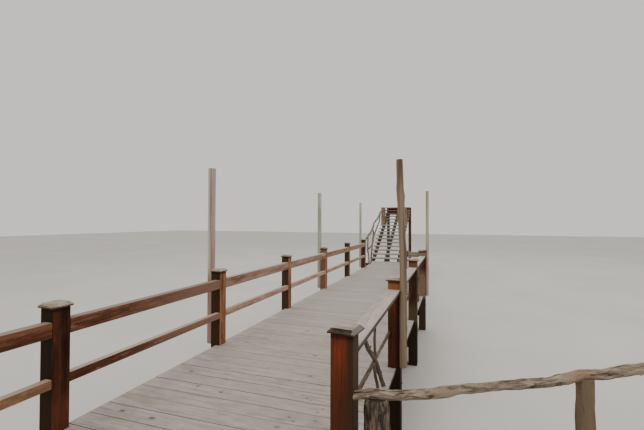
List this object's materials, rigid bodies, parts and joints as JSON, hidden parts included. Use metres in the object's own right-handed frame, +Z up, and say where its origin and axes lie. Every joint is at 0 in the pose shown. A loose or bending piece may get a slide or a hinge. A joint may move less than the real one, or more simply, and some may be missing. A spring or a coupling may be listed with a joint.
{
  "type": "boardwalk",
  "caption": "Timber boardwalk with post-and-rail side, branch-infill side, tall light poles, an open-riser stair at the far end and a log rail at the entry.",
  "frame": {"origin": "middle of the plan outline, at the ground the post feet stand on", "axes": "+Y along the walk from the entry to the stair, +Z up, +X to the right-hand side of a walker heading for the stair"},
  "size_m": [5.1458, 19.3, 3.11],
  "materials": {
    "stained_wood": "worn red-brown stain",
    "cap_wood": "weathered",
    "weathered_boards": "weathered",
    "pole_wood": "weathered",
    "bark_wood": "rough bark",
    "frame_wood": "dark, damp"
  },
  "bodies": {
    "root": {"beams": "frame_wood", "branches_narrow_1": "bark_wood", "branches_narrow_2": "bark_wood", "branches_narrow_3": "bark_wood", "branches_right_1": "bark_wood", "branches_right_2": "bark_wood", "branches_right_3": "bark_wood", "caps_left": "cap_wood", "caps_narrow": "cap_wood", "caps_right": "cap_wood", "deck_narrow": "weathered_boards", "deck_wide": "weathered_boards", "entry_log": "bark_wood", "entry_posts": "bark_wood", "entry_stump": "bark_wood", "joist_ends": "frame_wood", "joist_rim_left": "frame_wood", "joist_rim_narrow": "frame_wood", "joist_rim_right": "frame_wood", "joist_step": "frame_wood", "joists_inner": "frame_wood", "light_pole_left_1": "pole_wood", "light_pole_left_2": "pole_wood", "light_pole_left_3": "pole_wood", "light_pole_round": "pole_wood", "light_pole_thin": "pole_wood", "pier_far": "frame_wood", "post_left_1": "stained_wood", "post_left_2": "stained_wood", "post_left_3": "stained_wood", "post_left_4": "stained_wood", "post_left_5": "stained_wood", "post_left_6": "stained_wood", "post_left_7": "stained_wood", "post_narrow_1": "stained_wood", "post_narrow_2": "stained_wood", "post_narrow_3": "stained_wood", "post_narrow_4": "stained_wood", "post_right_1": "stained_wood", "post_right_2": "stained_wood", "post_right_3": "stained_wood", "post_right_4": "stained_wood", "rail_return": "stained_wood", "rails_flat_narrow": "weathered_boards", "rails_flat_right": "weathered_boards", "rails_low_left": "stained_wood", "rails_top_left": "stained_wood", "stair_header": "frame_wood", "stair_header_posts": "frame_wood", "stair_newels": "stained_wood", "stair_rail_left": "bark_wood", "stair_rail_right": "bark_wood", "stair_stringers": "frame_wood", "stair_treads": "weathered_boards"}
  },
  "joints": []
}
